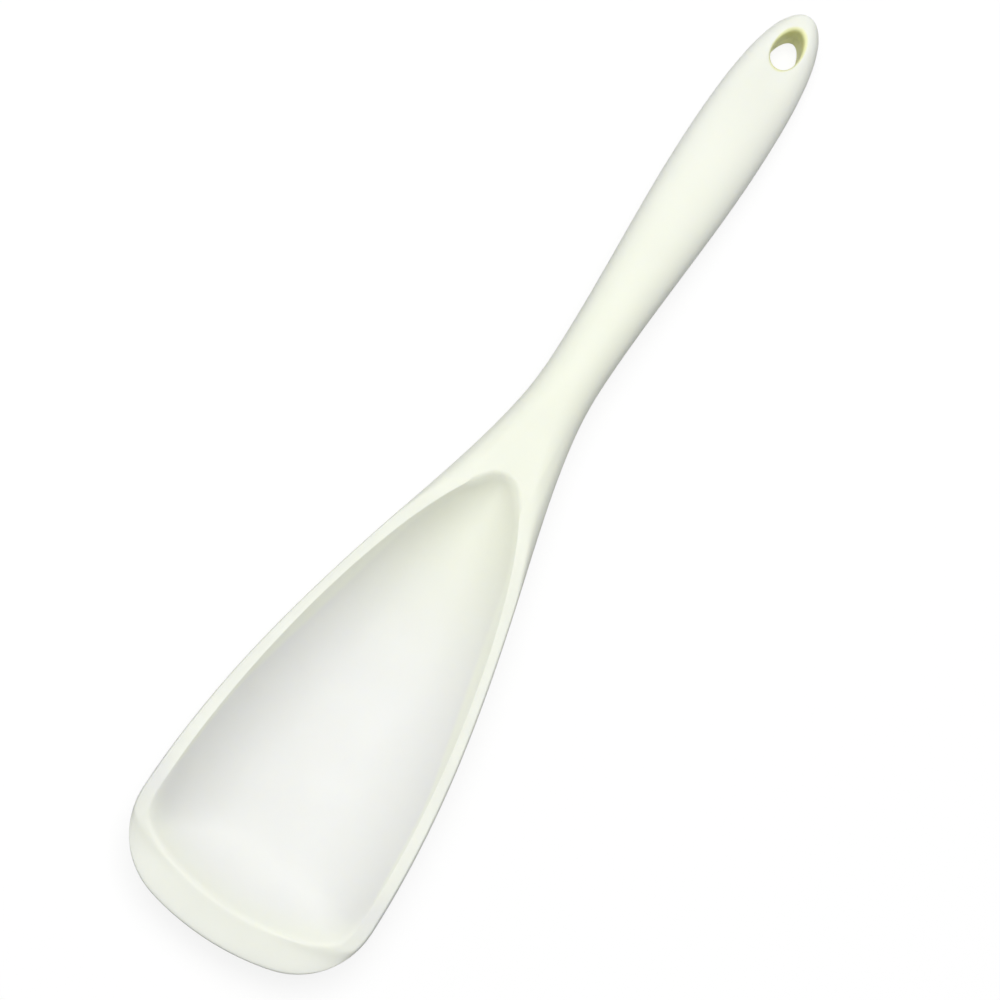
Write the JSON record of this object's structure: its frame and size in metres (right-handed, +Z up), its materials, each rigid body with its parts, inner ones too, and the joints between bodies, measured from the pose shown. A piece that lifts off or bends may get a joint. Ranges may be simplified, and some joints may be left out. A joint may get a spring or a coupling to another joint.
{
  "type": "silicone spoon",
  "caption": "One-piece silicone cooking spoon with a long scoop-shaped bowl, a bevelled scraping front edge and a rounded handle with an oval hanging hole.",
  "frame": {"origin": "on the table plane, below the middle of the spoon's length and width", "axes": "+X along the spoon from the bowl to the handle's end, +Y across the bowl, +Z up out of the bowl's mouth"},
  "size_m": [0.275, 0.0624, 0.0186],
  "materials": {
    "silicone": "satin cream-white moulded silicone",
    "nylon": "matt glass-filled nylon, natural colour"
  },
  "bodies": {
    "root": {"nylon_core": "nylon", "lower_skin": "silicone", "upper_skin": "silicone"}
  },
  "joints": []
}
